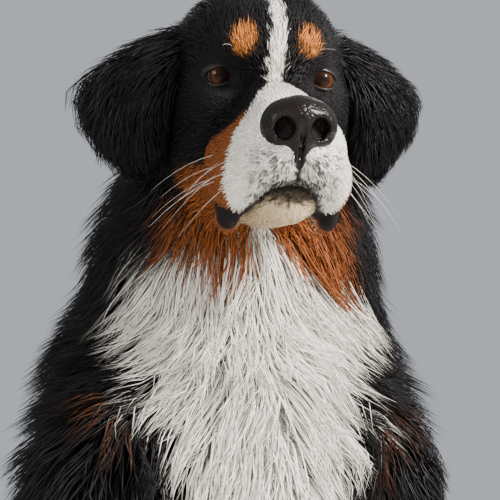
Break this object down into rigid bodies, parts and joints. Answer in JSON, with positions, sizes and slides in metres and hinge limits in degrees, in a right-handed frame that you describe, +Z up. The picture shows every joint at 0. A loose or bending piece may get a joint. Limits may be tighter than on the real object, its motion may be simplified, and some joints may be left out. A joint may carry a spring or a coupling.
{
  "type": "dog figure",
  "caption": "Life-size still model of a sitting bernese mountain dog with long black, white and rust coat.",
  "frame": {"origin": "on the floor, under the middle of the dog's box", "axes": "+Z up, -Y the way the dog faces, +X the dog's left"},
  "size_m": [0.5038, 0.9246, 0.8866],
  "materials": {
    "black_coat": "long straight hair with a soft sheen",
    "rust_coat": "medium long hair, matte",
    "white_coat": "short to long hair, matte",
    "nose_leather": "moist, fine pebbled",
    "eye": "wet, polished"
  },
  "bodies": {
    "root": {"eye_left": "eye", "eye_right": "eye", "nose": "nose_leather", "jaw": "white_coat", "head": "black_coat", "ear_left": "black_coat", "ear_right": "black_coat", "neck": "black_coat", "chest": "black_coat", "hindquarters": "black_coat", "upper_arm_left": "black_coat", "upper_arm_right": "black_coat", "forearm_left": "rust_coat", "forearm_right": "rust_coat", "forefoot_left": "white_coat", "forefoot_right": "white_coat", "thigh_left": "black_coat", "thigh_right": "black_coat", "hind_foot_left": "white_coat", "hind_foot_right": "white_coat", "tail_root": "black_coat", "tail_tip": "black_coat"}
  },
  "joints": []
}
